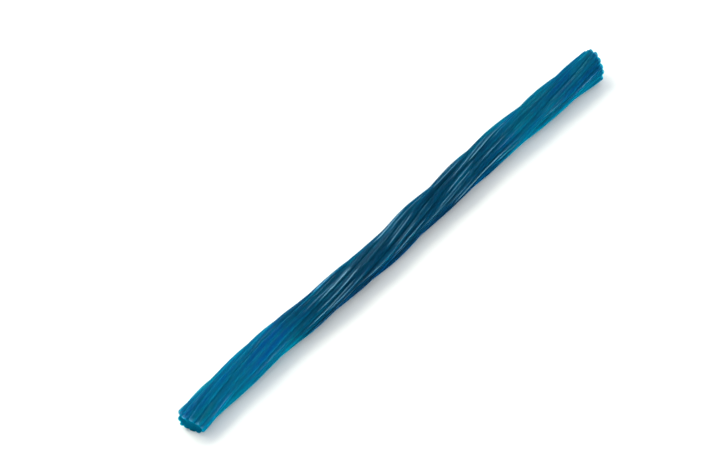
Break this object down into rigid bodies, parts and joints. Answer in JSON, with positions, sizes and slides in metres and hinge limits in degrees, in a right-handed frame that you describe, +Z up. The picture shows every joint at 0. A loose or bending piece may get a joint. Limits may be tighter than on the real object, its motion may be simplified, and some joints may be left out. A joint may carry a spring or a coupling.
{
  "type": "blue raspberry licorice twist",
  "caption": "Soft candy rope with a ring of rounded lobes, twisted left-handed and cut at a slant at both ends, lying on a flat surface.",
  "frame": {"origin": "on the surface that the twist lies on, under the middle of the box round the twist", "axes": "+X runs along the twist from its near end to its far end, +Y goes across it, +Z is up from the surface"},
  "size_m": [0.2016, 0.0118, 0.0102],
  "materials": {
    "blue_raspberry_candy": "soft, glossy, see-through deep blue candy, teal where it is thin"
  },
  "bodies": {
    "root": {"licorice_twist": "blue_raspberry_candy"}
  },
  "joints": []
}
